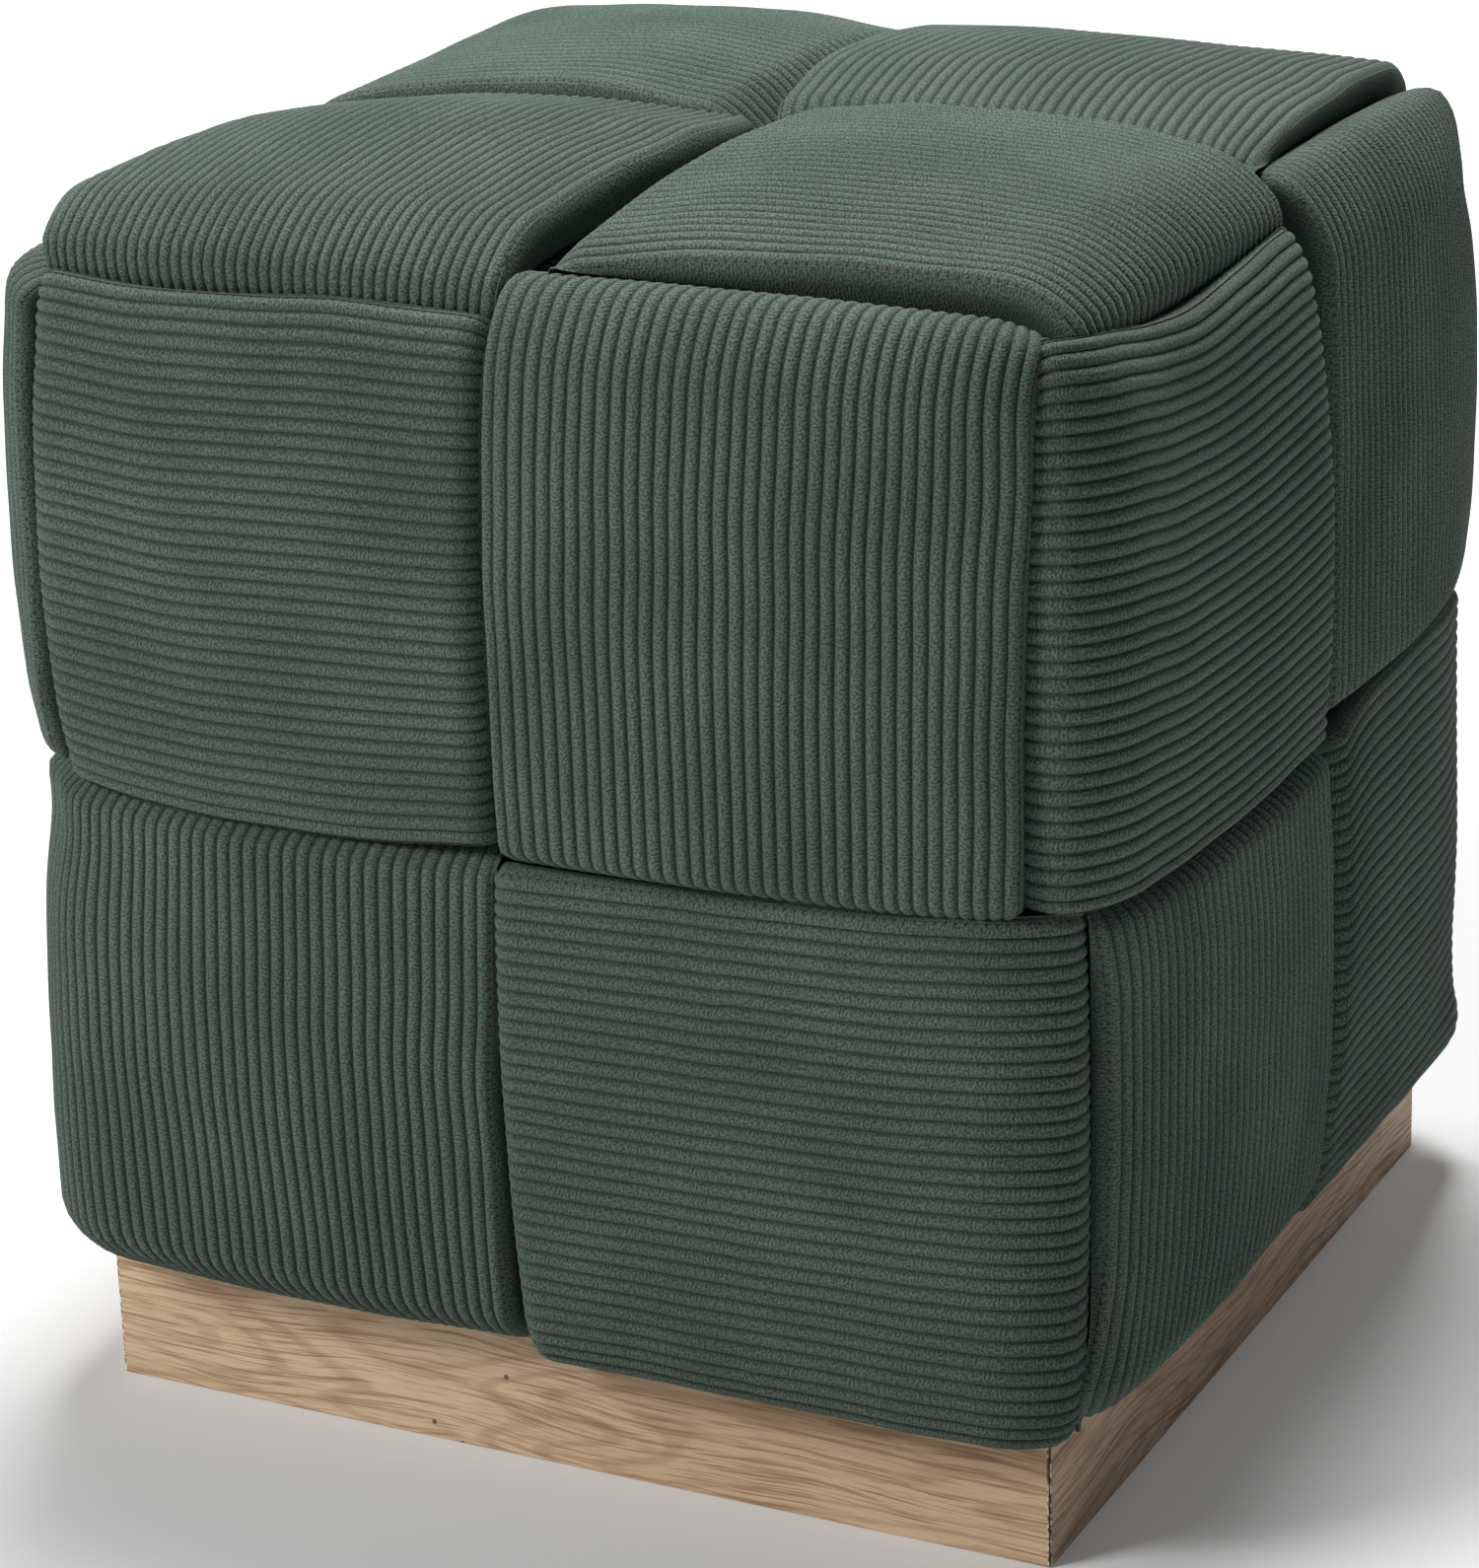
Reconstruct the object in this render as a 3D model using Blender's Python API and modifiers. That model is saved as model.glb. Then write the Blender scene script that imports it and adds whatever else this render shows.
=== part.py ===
"""Cube pouf: six padded corduroy bands in a plain weave on a low mitred oak plinth.

Metres, +Z up, origin on the floor under the middle of the plinth. The front is -Y.
Two belts go round the body, one above the other. Four bands rise from the underside,
cross the top in pairs and go down the far side. Every band passes over one
neighbour and under the next, like the strips of a basket.

All bands lie on one rounded box, the weave's middle surface. A point of a band is
given by its place along the band (s), its place across it (a) and its height above
that surface (h), which is measured square to the rounded box.
"""

import math

import bmesh
import bpy
import numpy as np
from mathutils import Matrix

# ---- driving dimensions ----
GAP = 0.0003                     # space between pieces that touch
PLINTH_SIDE = 0.360
PLINTH_HEIGHT = 0.0485
PLINTH_BOARD = 0.018             # thickness of the oak boards
PLINTH_ARRIS = 0.0005            # eased edges of the oak

WEAVE_HALF = 0.184               # half width of the weave's middle surface
WEAVE_BOTTOM = PLINTH_HEIGHT + GAP
WEAVE_TOP = 0.413
WEAVE_RADIUS = 0.0216            # rounding of that surface's edges
BELT_SPLIT = 0.2317              # height at which the two belts meet

BAND_THICK = 0.018               # a padded band in the middle of its width
CROSS_GAP = 0.0009               # space between two bands where they cross
BAND_CROWN = 0.0085              # extra swell in the middle of a visible stretch
CROWN_POWER = 6                  # keeps the swell away from where a band bends down
DIVE_HALF = 0.016                # half the length over which a band changes level
DIVE_ROWS = (-0.016, -0.005, 0.004, 0.014)   # sections of a rising dive, from its middle
TURN_PARTS = 3                   # lengths into which a section row divides a quarter turn
EDGE_ROUND = 0.016               # width over which a padded edge rounds off
EDGE_BLUNT = 0.12                # share of the thickness left at the very edge
ROUND_SHARES = (1.0, 0.5, 0.16, 0.0)         # points over an edge's rounding
DRAW_IN = 0.010                  # a covered stretch is this much narrower on each side
WRAP_OVER = math.radians(42)     # how far a visible edge reaches round the body's edge
WRAP_SHARES = (0.0, 0.25, 0.6, 1.0)          # points over the wrapped strip
WRAP_STEP = 1.3                  # the next point, as a share of the wrapped strip
WRAP_LEAST = 0.004

TUCK_LENGTH = 0.006              # flat end of a band, held under the body
TUCK_THICK = 0.008
TUCK_DRAW_IN = 0.012             # the covered end is this much narrower at the corner
TUCK_HOLD = 0.15                 # share of the bottom turn over which the end stays flat

WALE_PITCH = 0.0052
WALE_DEPTH = 0.0012
HEM = 0.008                      # plain margin beside each long edge
HEM_SHARES = (0.0, 0.25, 0.65)   # points over the margin

BASE_BOARD_THICK = 0.015
BASE_BOARD_ARRIS = 0.001

# ---- colours and roughness ----
CORDUROY_GREEN = (0.055, 0.105, 0.082, 1.0)
CORDUROY_ROUGH = 0.9
OAK_BROWN = (0.50, 0.33, 0.19, 1.0)
OAK_ROUGH = 0.6
BIRCH_YELLOW = (0.56, 0.43, 0.28, 1.0)
BIRCH_ROUGH = 0.7

# ---- worked out from them ----
FLAT_HALF = WEAVE_HALF - WEAVE_RADIUS
FLAT_LOW = WEAVE_BOTTOM + WEAVE_RADIUS
FLAT_HIGH = WEAVE_TOP - WEAVE_RADIUS
QUARTER_TURN = math.pi / 2 * WEAVE_RADIUS
LEVEL = (BAND_THICK + CROSS_GAP) / 2

OBJECT_NAME = "cube_pouf_stool"


# ---- the way of a band round the rounded box ----
def heading(angle):
    return np.array([math.cos(angle), math.sin(angle)])


def make_walk(start, straights):
    """Straight runs with a quarter turn between each two, in the plane of the band.

    The walk sets out along the plane's negative first axis and keeps the outside
    on its left hand. Each leg is (s at its start, length, first point, angle, turns).
    """
    walk = []
    point = np.array(start, float)
    s = 0.0
    angle = math.pi
    for number, length in enumerate(straights):
        if number:
            walk.append((s, QUARTER_TURN, point, angle, True))
            outward = heading(angle + math.pi / 2)
            point = point + (heading(angle) - outward) * WEAVE_RADIUS
            angle -= math.pi / 2
            s += QUARTER_TURN
        walk.append((s, length, point, angle, False))
        point = point + heading(angle) * length
        s += length
    return walk


def place_on_walk(walk, s):
    """The point at s and the outward direction there."""
    leg = [leg for leg in walk if leg[0] <= s + 1e-9][-1]
    begin, _, point, angle, turns = leg
    outward = heading(angle + math.pi / 2)
    if not turns:
        return point + heading(angle) * (s - begin), outward
    centre = point - outward * WEAVE_RADIUS
    turned = heading(angle + math.pi / 2 - (s - begin) / WEAVE_RADIUS)
    return centre + turned * WEAVE_RADIUS, turned


def across_bend(a, h, flat_low, flat_high):
    """Side position and outward rise of points that may lie round a long edge."""
    flat = np.clip(a, flat_low, flat_high)
    turn = (a - flat) / WEAVE_RADIUS
    reach = WEAVE_RADIUS + h
    return flat + reach * np.sin(turn), reach * np.cos(turn) - WEAVE_RADIUS


# ---- levels and thickness ----
def level_at(s, dives, first):
    """+1 where the band lies over its neighbour, -1 where it lies under it."""
    level = first
    for dive in dives:
        level *= -math.sin(math.pi / 2 * max(-1.0, min(1.0, (s - dive) / DIVE_HALF)))
    return level


def shifted_dives(crossings, first):
    """A change of level is centred a little way into the stretch that lies on top."""
    return [crossing - first * (-1) ** number * DRAW_IN / 2
            for number, crossing in enumerate(crossings)]


def edge_fullness(distance):
    """Share of the thickness at a distance from a long edge: a quarter ellipse."""
    near = np.clip(distance / EDGE_ROUND, 0.0, 1.0)
    return np.maximum(EDGE_BLUNT, np.sqrt(1.0 - (1.0 - near) ** 2))


def smooth_step(x):
    x = min(1.0, max(0.0, x))
    return x * x * (3.0 - 2.0 * x)


def wrap_length(level, tucked):
    """How far a long edge reaches round the edge of the body."""
    covered = (1.0 - level) / 2.0
    wrap = WEAVE_RADIUS * WRAP_OVER - DRAW_IN * covered
    return wrap * (1.0 - tucked) - TUCK_DRAW_IN * covered * tucked


# ---- points across a band, as distances from its wrapped edge ----
def plain_columns(width, wrap, middle):
    wrap = max(wrap, WRAP_LEAST)
    head = [share * wrap for share in WRAP_SHARES] + [max(EDGE_ROUND, WRAP_STEP * wrap)]
    tail = [width - share * EDGE_ROUND for share in ROUND_SHARES]
    return np.array(head + middle + tail)


def wale_columns(width, wales):
    """Distances and depths of the ribs: a valley, a crest, a valley, and so on."""
    ribs = HEM + (width - 2 * HEM) * np.arange(2 * wales + 1) / (2 * wales)
    margin = np.array(HEM_SHARES) * HEM
    depth = np.zeros(len(ribs) + 2 * len(margin))
    depth[len(margin):-len(margin):2] = WALE_DEPTH
    return np.concatenate([margin, ribs, width - margin[::-1]]), depth


# ---- a band as a loft between its sections ----
def section(band, s, ribbed):
    """The points of the outer face from edge to edge, and of the inner face back."""
    level = level_at(s, band["dives"], band["first"])
    tucked = band["tucked"](s)
    middle = LEVEL * level * (1.0 - tucked) - TUCK_THICK / 2 * tucked
    half = BAND_THICK / 2 * (1.0 - tucked) + TUCK_THICK / 2 * tucked
    wrap = wrap_length(level, tucked)
    draw_in = DRAW_IN * (1.0 - level) / 2.0
    width = wrap + band["flat_width"] - draw_in
    if ribbed:
        outer, depth = wale_columns(width, band["wales"])
    else:
        outer, depth = plain_columns(width, wrap, [width / 2]), 0.0
    inner = plain_columns(width, wrap, [])[::-1]
    swell = max(0.0, level) ** CROWN_POWER * (1.0 - tucked)
    crown = BAND_CROWN * swell * (1.0 - (2.0 * outer / width - 1.0) ** 2)
    outer_h = middle + half * edge_fullness(np.minimum(outer, width - outer)) + crown - depth
    inner_h = middle - half * edge_fullness(np.minimum(inner, width - inner))
    point, outward = place_on_walk(band["walk"], s)
    faces = []
    for distance, h in ((outer, outer_h), (inner, inner_h)):
        side, rise = across_bend(band["across"](distance - wrap), h, *band["flat"])
        faces.append(band["in_space"](side, point + rise[:, None] * outward))
    return faces


def fill_between(bm, one, two):
    """Faces between two rows of points, also where one row has more of them."""
    last_one = len(one) - 1
    last_two = len(two) - 1
    i = 0
    j = 0
    while i < last_one or j < last_two:
        ahead = (i + 1) * last_two - (j + 1) * last_one
        step_one = i < last_one and (ahead <= 0 or j == last_two)
        step_two = j < last_two and (ahead >= 0 or i == last_one)
        corners = [one[i], one[i + 1] if step_one else None,
                   two[j + 1] if step_two else None, two[j]]
        bm.faces.new([corner for corner in corners if corner])
        i += step_one
        j += step_two


def build_band(name, band, quarter_turns, collection, material):
    """Loft the sections, close open ends and turn the band to its side of the body."""
    bm = bmesh.new()
    rings = []
    for s, ribbed in band["stations"]:
        rings.append([[bm.verts.new(point) for point in face] for face in section(band, s, ribbed)])
    pairs = list(zip(rings, rings[1:]))
    if band["closed"]:
        pairs.append((rings[-1], rings[0]))
    for (outer, inner), (next_outer, next_inner) in pairs:
        fill_between(bm, outer, next_outer)
        fill_between(bm, inner, next_inner)
        bm.faces.new((outer[-1], inner[0], next_inner[0], next_outer[-1]))
        bm.faces.new((inner[-1], outer[0], next_outer[0], next_inner[-1]))
    if not band["closed"]:
        for outer, inner in (rings[0], rings[-1]):
            fill_between(bm, outer, inner[::-1])
    bmesh.ops.triangulate(bm, faces=bm.faces)
    bmesh.ops.recalc_face_normals(bm, faces=bm.faces)
    turn = Matrix.Rotation(quarter_turns * math.pi / 2, 3, "Z")
    bmesh.ops.rotate(bm, verts=bm.verts, cent=(0, 0, 0), matrix=turn)
    mesh = bpy.data.meshes.new(name)
    bm.to_mesh(mesh)
    bm.free()
    mesh.materials.append(material)
    collection.objects.link(bpy.data.objects.new(name, mesh))


def dive_stations(dives, first, turn_starts):
    """Sections where a band changes level: ribbed while it shows, plain while covered."""
    stations = []
    for number, dive in enumerate(dives):
        rising = first * (-1) ** number < 0
        if turn_starts[number] is None:
            steps = [(step, step == DIVE_ROWS[-1]) for step in DIVE_ROWS]
            if not rising:
                steps = [(-step, ribbed) for step, ribbed in reversed(steps)]
            stations += [(dive + step, ribbed) for step, ribbed in steps]
        else:
            for part in range(TURN_PARTS + 1):
                ribbed = part > 0 if rising else part < TURN_PARTS
                stations.append((turn_starts[number] + QUARTER_TURN * part / TURN_PARTS, ribbed))
    return stations


def top_band():
    """The band on the left half of the front; the other three are turned copies of it."""
    rise = FLAT_HIGH - FLAT_LOW
    walk = make_walk((-(FLAT_HALF - TUCK_LENGTH), WEAVE_BOTTOM),
                     [TUCK_LENGTH, rise, 2 * FLAT_HALF, rise, TUCK_LENGTH])
    total = walk[-1][0] + walk[-1][1]
    front_turn = walk[3][0]
    back_turn = walk[5][0]
    front_middle = walk[2][0] + BELT_SPLIT - FLAT_LOW
    crossings = [front_middle, front_turn + QUARTER_TURN / 2, total / 2,
                 back_turn + QUARTER_TURN / 2, total - front_middle]
    first = 1
    dives = shifted_dives(crossings, first)

    def tucked(s):
        turned = (min(s, total - s) - TUCK_LENGTH) / QUARTER_TURN
        return 1.0 - smooth_step((turned - TUCK_HOLD) / (1.0 - TUCK_HOLD))

    foot = [(0.0, False), (TUCK_LENGTH, False)]
    foot += [(TUCK_LENGTH + QUARTER_TURN * part / TURN_PARTS, True)
             for part in range(1, TURN_PARTS + 1)]
    far_foot = [(total - TUCK_LENGTH - QUARTER_TURN * part / TURN_PARTS, False)
                for part in range(TURN_PARTS, -1, -1)]
    far_foot.append((total, False))
    stations = foot + dive_stations(dives, first, [None, front_turn, None, back_turn, None])
    return {
        "walk": walk, "dives": dives, "first": first, "tucked": tucked, "closed": False,
        "stations": stations + far_foot, "flat_width": FLAT_HALF,
        "wales": round((FLAT_HALF + wrap_length(1, 0) - 2 * HEM) / WALE_PITCH),
        "flat": (-FLAT_HALF, FLAT_HALF), "across": lambda inward: inward - FLAT_HALF,
        "in_space": lambda side, plane: np.column_stack([side, plane[:, 0], plane[:, 1]]),
    }


def belt(upper):
    """A closed belt: the upper one wraps the top edge, the lower one the bottom edge."""
    walk = make_walk((FLAT_HALF / 2, -WEAVE_HALF),
                     [1.5 * FLAT_HALF, 2 * FLAT_HALF, 2 * FLAT_HALF, 2 * FLAT_HALF,
                      FLAT_HALF / 2])
    spacing = FLAT_HALF + QUARTER_TURN / 2
    crossings = [FLAT_HALF / 2 + number * spacing for number in range(8)]
    first = -1 if upper else 1
    dives = shifted_dives(crossings, first)
    turn_starts = [crossing - QUARTER_TURN / 2 if number % 2 else None
                   for number, crossing in enumerate(crossings)]
    flat_width = FLAT_HIGH - BELT_SPLIT if upper else BELT_SPLIT - FLAT_LOW
    return {
        "walk": walk, "dives": dives, "first": first, "tucked": lambda s: 0.0, "closed": True,
        "stations": dive_stations(dives, first, turn_starts), "flat_width": flat_width,
        "wales": round((flat_width + wrap_length(1, 0) - 2 * HEM) / WALE_PITCH),
        "flat": (FLAT_LOW, FLAT_HIGH),
        "across": lambda inward: FLAT_HIGH - inward if upper else FLAT_LOW + inward,
        "in_space": lambda side, plane: np.column_stack([plane[:, 0], plane[:, 1], side]),
    }


# ---- boards ----
def finish_board(obj, arris, material, collection):
    bevel = obj.modifiers.new("eased_edges", "BEVEL")
    bevel.width = arris
    bevel.segments = 1
    obj.data.materials.append(material)
    for other in obj.users_collection:
        other.objects.unlink(obj)
    collection.objects.link(obj)


def build_plinth_board(name, quarter_turns, collection, material):
    """An oak board on edge, its ends cut back at 45 degrees towards the inner face."""
    length = PLINTH_SIDE - 2 * GAP
    bm = bmesh.new()
    bmesh.ops.create_cube(bm, size=1.0)
    bmesh.ops.scale(bm, vec=(length, PLINTH_BOARD, PLINTH_HEIGHT), verts=bm.verts)
    for vert in bm.verts:
        if vert.co.y > 0:
            vert.co.x -= math.copysign(PLINTH_BOARD, vert.co.x)
    mesh = bpy.data.meshes.new(name)
    bm.to_mesh(mesh)
    bm.free()
    obj = bpy.data.objects.new(name, mesh)
    out = (PLINTH_SIDE - PLINTH_BOARD) / 2
    turn = Matrix.Rotation(quarter_turns * math.pi / 2, 4, "Z")
    obj.matrix_world = turn @ Matrix.Translation((0, -out, PLINTH_HEIGHT / 2))
    finish_board(obj, PLINTH_ARRIS, material, collection)


def build_base_board(collection, material):
    """The board inside the body that rests on the tucked ends of the bands."""
    side = 2 * FLAT_HALF - 4 * GAP
    low = WEAVE_BOTTOM + TUCK_THICK + GAP
    bpy.ops.mesh.primitive_cube_add(size=1.0, location=(0, 0, low + BASE_BOARD_THICK / 2))
    obj = bpy.context.object
    obj.name = "base_board"
    obj.data.transform(Matrix.Diagonal((side, side, BASE_BOARD_THICK, 1.0)))
    finish_board(obj, BASE_BOARD_ARRIS, material, collection)


def make_material(name, colour, roughness):
    material = bpy.data.materials.new(name)
    material.use_nodes = True
    shader = material.node_tree.nodes["Principled BSDF"]
    shader.inputs["Base Color"].default_value = colour
    shader.inputs["Roughness"].default_value = roughness
    shader.inputs["Metallic"].default_value = 0.0
    return material


def main():
    for obj in list(bpy.data.objects):
        bpy.data.objects.remove(obj, do_unlink=True)
    collection = bpy.data.collections.new(OBJECT_NAME)
    bpy.context.scene.collection.children.link(collection)

    sides = ("front", "right", "back", "left")
    for turns, side in enumerate(sides):
        green = make_material("corduroy_top_band_" + side, CORDUROY_GREEN, CORDUROY_ROUGH)
        build_band("top_band_" + side, top_band(), turns, collection, green)
        oak = make_material("oak_" + side, OAK_BROWN, OAK_ROUGH)
        build_plinth_board("plinth_board_" + side, turns, collection, oak)
    for name, upper in (("belt_upper", True), ("belt_lower", False)):
        green = make_material("corduroy_" + name, CORDUROY_GREEN, CORDUROY_ROUGH)
        build_band(name, belt(upper), 0, collection, green)
    build_base_board(collection, make_material("birch_ply", BIRCH_YELLOW, BIRCH_ROUGH))


main()
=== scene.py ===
"""Looks of the woven cube pouf: six padded corduroy bands and four oak boards.

A point of a band is given by its place along the band (s), its distance from the edge
that wraps the body, and its height square to a rounded box, the weave's middle surface.
"""
import math

import bpy
import numpy as np
from mathutils import Matrix, Vector


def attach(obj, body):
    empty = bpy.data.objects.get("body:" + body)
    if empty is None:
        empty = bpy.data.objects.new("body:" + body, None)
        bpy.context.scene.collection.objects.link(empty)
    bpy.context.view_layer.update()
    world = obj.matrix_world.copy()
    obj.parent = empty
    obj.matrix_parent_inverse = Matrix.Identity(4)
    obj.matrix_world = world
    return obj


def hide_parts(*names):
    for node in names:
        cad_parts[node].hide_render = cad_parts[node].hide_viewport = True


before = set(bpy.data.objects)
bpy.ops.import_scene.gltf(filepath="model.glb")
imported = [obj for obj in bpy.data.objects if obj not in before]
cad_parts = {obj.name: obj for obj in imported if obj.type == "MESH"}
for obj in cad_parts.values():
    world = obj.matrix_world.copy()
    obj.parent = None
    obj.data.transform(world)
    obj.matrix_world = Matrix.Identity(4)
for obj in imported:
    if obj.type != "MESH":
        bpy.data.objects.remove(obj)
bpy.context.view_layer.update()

# ---- the weave, as in the CAD ----
WEAVE_HALF = 0.184
WEAVE_BOTTOM = 0.0488
WEAVE_TOP = 0.413
RADIUS = 0.0216                 # rounding of the middle surface's edges
BELT_SPLIT = 0.2317             # height at which the two belts meet
BAND_THICK = 0.018
CROSS_GAP = 0.0009              # between two bands where they cross
DRAW_IN = 0.0025                # a covered band is narrower by this much at each edge
TUCK_LENGTH = 0.006             # the band ends that are held under the base board
TUCK_THICK = 0.008
TUCK_DRAW_IN = 0.012
TUCK_HOLD = 0.15
FLAT_HALF = WEAVE_HALF - RADIUS
FLAT_LOW = WEAVE_BOTTOM + RADIUS
FLAT_HIGH = WEAVE_TOP - RADIUS
QUARTER_TURN = math.pi / 2 * RADIUS
LEVEL = (BAND_THICK + CROSS_GAP) / 2
STRETCH = 1 + (LEVEL + BAND_THICK / 2) / RADIUS     # cloth length over middle length at a turn

PUFF_SIDE = 0.009               # swell of the body in the middle of a side
PUFF_TOP = 0.0095
PUFF_SPAN = WEAVE_HALF + LEVEL
PUFF_MIDDLE = (WEAVE_BOTTOM + WEAVE_TOP) / 2
PUFF_RISE = (WEAVE_TOP - WEAVE_BOTTOM) / 2 + LEVEL
PUFF_POWER = 2.6

SLACK_POWER = 4                 # how close to an edge of the body its slack stays
SLACK_FRONT_LEFT = (            # height, thousandths of the distance from the axis
    (0.0, 0), (0.11, 0), (0.129, 3), (0.15, 8), (0.172, 14), (0.193, 23), (0.215, 40),
    (0.236, 34), (0.258, 19), (0.28, 12), (0.34, 12), (0.364, 16), (0.386, 26), (0.45, 30))
SLACK_BACK_RIGHT = (
    (0.0, 0), (0.055, 0), (0.078, 38), (0.099, 54), (0.119, 57), (0.16, 65), (0.202, 65),
    (0.223, 56), (0.244, 42), (0.265, 26), (0.285, 17), (0.327, 14), (0.348, 18),
    (0.368, 27), (0.389, 50), (0.402, 48), (0.415, 26), (0.43, 8), (0.45, 6))
SINK_BACK = (                   # place along the top's back edge, millimetres
    (-0.2, 7), (-0.16, 7), (-0.12, 5.5), (-0.083, 6), (-0.04, 7), (0.0, 7.6), (0.03, 9),
    (0.067, 12), (0.105, 13), (0.14, 10), (0.18, 5), (0.2, 3))
SINK_LEFT = (                   # place along the top's left edge, millimetres
    (-0.2, 0), (-0.12, 0), (-0.06, 4), (0.0, 12), (0.05, 15), (0.1, 12), (0.15, 4), (0.2, 0))

# ---- how a band passes under the next ----
DIVE_HALF = 0.009
LONG_DIVE = 0.015               # upper side of the dives in the middle of the top
SLOPE_DEPTH = 0.0055            # the top's bands slope down to the band that covers them
SLOPE_LENGTH = 0.06
CONTACT_GAP = 0.0003
REST_MOST = 0.0027              # keeps the rolled edge of a band thick
REST_THIN = 0.0012              # thickness kept between an edge's two faces
TUCK_FREE = 0.1                 # further than any dive is long

# ---- the look of the cloth ----
CROWN = 0.0036                  # extra swell in the middle of a visible stretch
EDGE_POWER = 2.3                # 2 is an ellipse, more is squarer
EDGE_ROUND = 0.005
FOOT_ROUND = 0.0135             # lower edge of the low belt, over the plinth
FOOT_TURN = math.radians(42)    # how far that edge turns under the body
UNEVEN = 0.0003                 # small unevenness square to the cloth, and along it
UNEVEN_ALONG = 0.0004
WALE_DEPTH = 0.0014
WALE_ROUND = 0.68               # 1 is a sine, less is fuller
WALE_PHASES = np.array([0.0, 0.06, 0.18, 0.34, 0.5, 0.66, 0.82, 0.94])
HEM_ROLL = 0.0021               # smooth roll outside the stitching
HEM_PLAIN = 0.0042              # plain rib behind it
HEM_PHASES = (0.2, 0.4, 0.6, 0.8, 0.93)
SEAM_DEPTH = 0.0007
SEAM_HALF = 0.0007
UNDERSIDE_PAINTED_SHADE = 0.6                 # painted shade on the inner face of a band, which lies under its rolled edges
# painted shade under each rolled hem: darkest at the edge, fading up the roll
ROLL_PAINTED_SHADES = ((0.0, UNDERSIDE_PAINTED_SHADE), (0.03, 0.55), (0.08, 0.42), (0.16, 0.3), (0.27, 0.18),
               (0.4, 0.08), (0.55, 0), (0.7, 0), (0.82, 0))   # share of the roll, painted shade
INNER_SHARES = np.array([0.995, 0.98, 0.955, 0.91, 0.75, 0.5, 0.25, 0.09, 0.045, 0.02, 0.005])

# ---- distance from row to row of a band ----
STEP_SHOWN = 0.0045
STEP_COVERED = 0.014
STEP_TURN = 0.0026
STEP_COVERED_TURN = 0.005
STEP_DIVE = 0.0024
TURN_MARGIN = 0.004

# ---- the finishes, in tufts, rows, stitches and lines a metre ----
TUFTS_ACROSS = 1000.0
TUFTS_ALONG = 1250.0
TUFT_ROWS = 780.0
TUFT_SLANT = 0.0016
STITCHES = 300.0
OAK_LINES = 900.0
OAK_LENGTHWISE = 24.0
OAK_WAVE = 0.022
MITRE_FLAKES_FROM = 0.1786            # the mitred ends of a board, from its middle
MITRE_FLAKES_TO = 0.1791


# ---- the way of a band round the rounded box ----
def make_walk(start, straights):
    """Straight runs with a quarter turn between each two; the outside is on the left."""
    walk = []
    point = np.array(start, float)
    s = 0.0
    angle = math.pi
    for number, length in enumerate(straights):
        if number:
            walk.append((s, QUARTER_TURN, point, angle, True))
            ahead = np.array([math.cos(angle), math.sin(angle)])
            left = np.array([-math.sin(angle), math.cos(angle)])
            point = point + (ahead - left) * RADIUS
            angle -= math.pi / 2
            s += QUARTER_TURN
        walk.append((s, length, point, angle, False))
        point = point + np.array([math.cos(angle), math.sin(angle)]) * length
        s += length
    return walk


def place_on_walk(walk, s):
    """Points and outward directions at the places s.

    On a straight run the point is the run's start plus s along its heading. On a turn it
    is the centre plus the radius along a direction that turns clockwise by s / radius.
    """
    point = np.zeros((len(s), 2))
    outward = np.zeros((len(s), 2))
    for begin, length, start, angle, turns in walk:
        here = s >= begin - 1e-9
        along = s[here] - begin
        side = angle + math.pi / 2
        if turns:
            bearing = side - along / RADIUS
            centre = start - RADIUS * np.array([math.cos(side), math.sin(side)])
            outward[here] = np.column_stack([np.cos(bearing), np.sin(bearing)])
            point[here] = centre + RADIUS * outward[here]
        else:
            outward[here] = [math.cos(side), math.sin(side)]
            point[here] = start + along[:, None] * np.array([math.cos(angle), math.sin(angle)])
    return point, outward


def level_at(s, dives, first):
    """+1 over a neighbour, -1 under it, and a quarter sine to each side of a dive.

    A dive is (crossing, how far past the crossing it is centred, length of its upper side).
    """
    level = np.full(len(s), float(first))
    for number, (crossing, late, upper_side) in enumerate(dives):
        down = first * (-1) ** number
        past = s - crossing - down * late
        half = np.where(past * down < 0, upper_side, DIVE_HALF)
        level *= -np.sin(math.pi / 2 * np.clip(past / half, -1, 1))
    return level


def neighbour_top(inside, late):
    """Height of the band that dives under an edge, at a distance inside the crossing."""
    level = np.sin(math.pi / 2 * np.clip((late - inside) / DIVE_HALF, -1, 1))
    return LEVEL * level + CROWN * np.clip(level, 0, 1) + BAND_THICK / 2 + CONTACT_GAP


def smooth(x):
    x = np.clip(x, 0, 1)
    return x * x * (3 - 2 * x)


def fullness(distance, width, rounds):
    """Share of the thickness across a band: a quarter superellipse at each long edge."""
    full = 1.0
    for away, edge_round in ((distance, rounds[0]), (width - distance, rounds[1])):
        near = np.clip(away / edge_round, 0, 1)
        full = full * (1 - (1 - near) ** EDGE_POWER) ** (1 / EDGE_POWER)
    return full


def knots(*table):
    """A smooth function of s through (s, millimetres) pairs: a cubic between each two."""
    places, values = np.array(table, float).T
    values = values / 1000
    slopes = np.gradient(values, places)

    def value(s):
        i = np.clip(np.searchsorted(places, s, "right") - 1, 0, len(places) - 2)
        gap = places[i + 1] - places[i]
        t = np.clip((s - places[i]) / gap, 0, 1)
        eased = t * t * (3 - 2 * t)
        return (values[i] + (values[i + 1] - values[i]) * eased
                + gap * t * (1 - t) * (slopes[i] * (1 - t) - slopes[i + 1] * t))
    return value


def constant(value):
    return lambda s: np.full(len(s), float(value))


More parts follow.
